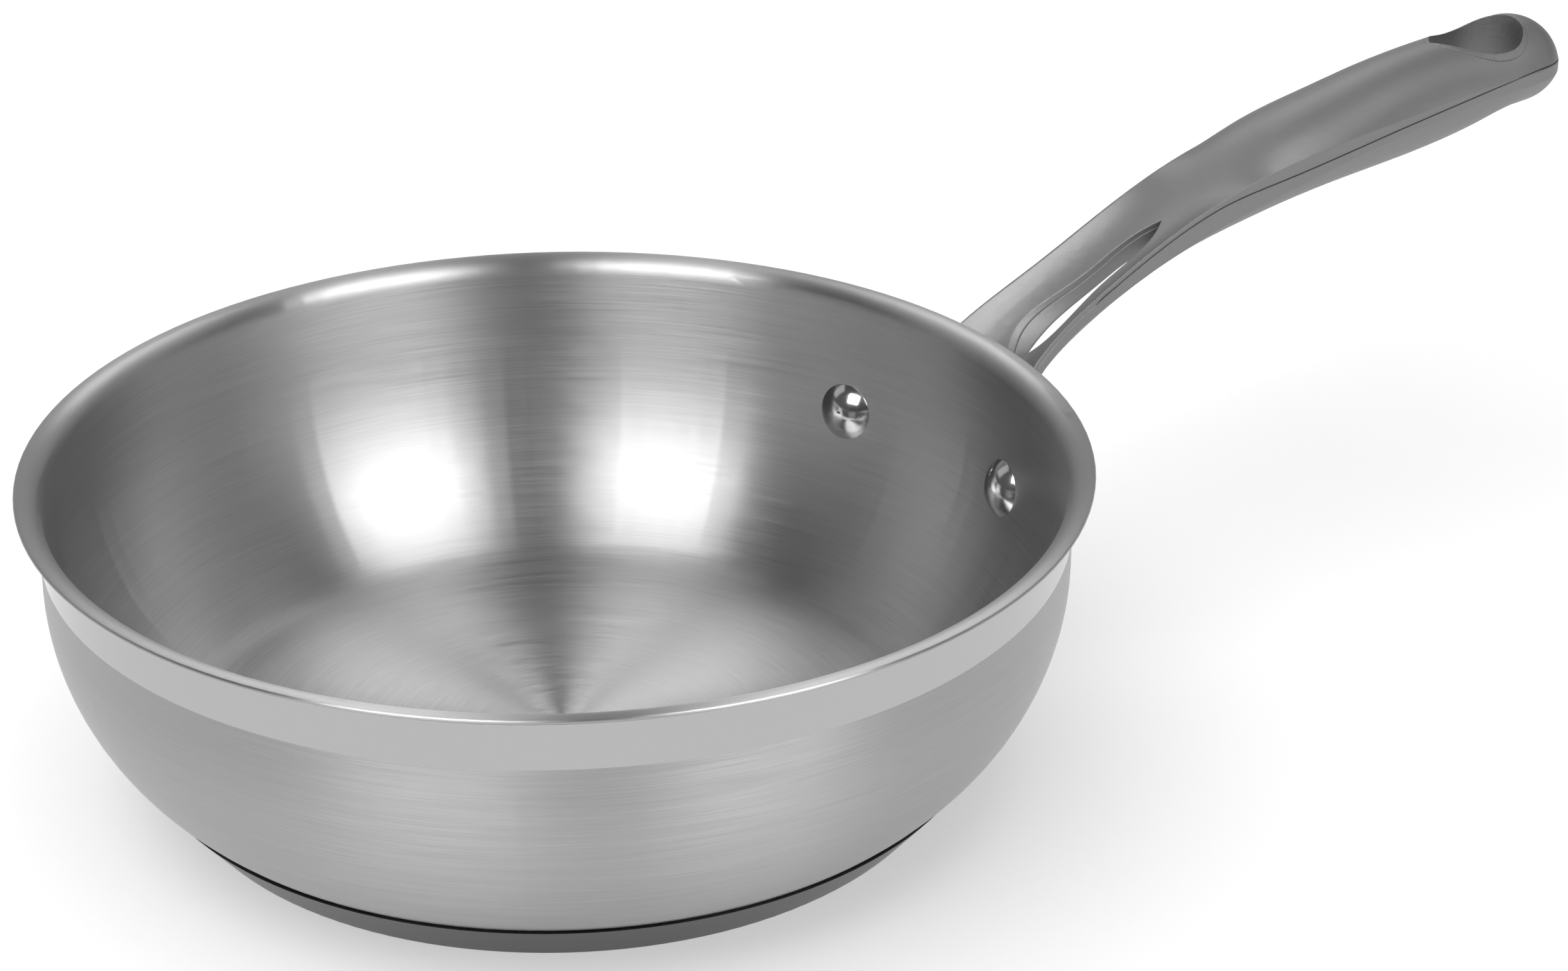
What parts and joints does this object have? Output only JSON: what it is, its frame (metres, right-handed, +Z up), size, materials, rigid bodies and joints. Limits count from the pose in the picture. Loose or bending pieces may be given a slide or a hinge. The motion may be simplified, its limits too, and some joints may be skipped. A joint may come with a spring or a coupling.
{
  "type": "saucier pan",
  "caption": "Round-bottomed stainless steel saucier pan with a flared pouring lip, a capped flat base and a long riveted hollow handle with a teardrop hanging hole.",
  "frame": {"origin": "on the pan's axis, at the underside of its base", "axes": "+Z up along the pan's axis, +X along the handle"},
  "size_m": [0.4461, 0.24, 0.1061],
  "materials": {
    "bowl_steel": "brushed round the pan, polished under the lip",
    "core_aluminium": "plain",
    "cap_steel": "brushed round the base",
    "bracket_steel": "satin",
    "rivet_steel": "polished",
    "handle_steel": "fine satin",
    "liner_steel": "as cast, grainy"
  },
  "bodies": {
    "root": {"pan_shell": "bowl_steel", "base_core": "core_aluminium", "base_cap": "cap_steel", "handle_bracket": "bracket_steel", "handle_rivets": "rivet_steel", "handle_upper_shell": "handle_steel", "handle_lower_shell": "handle_steel", "hang_hole_liner": "liner_steel"}
  },
  "joints": []
}
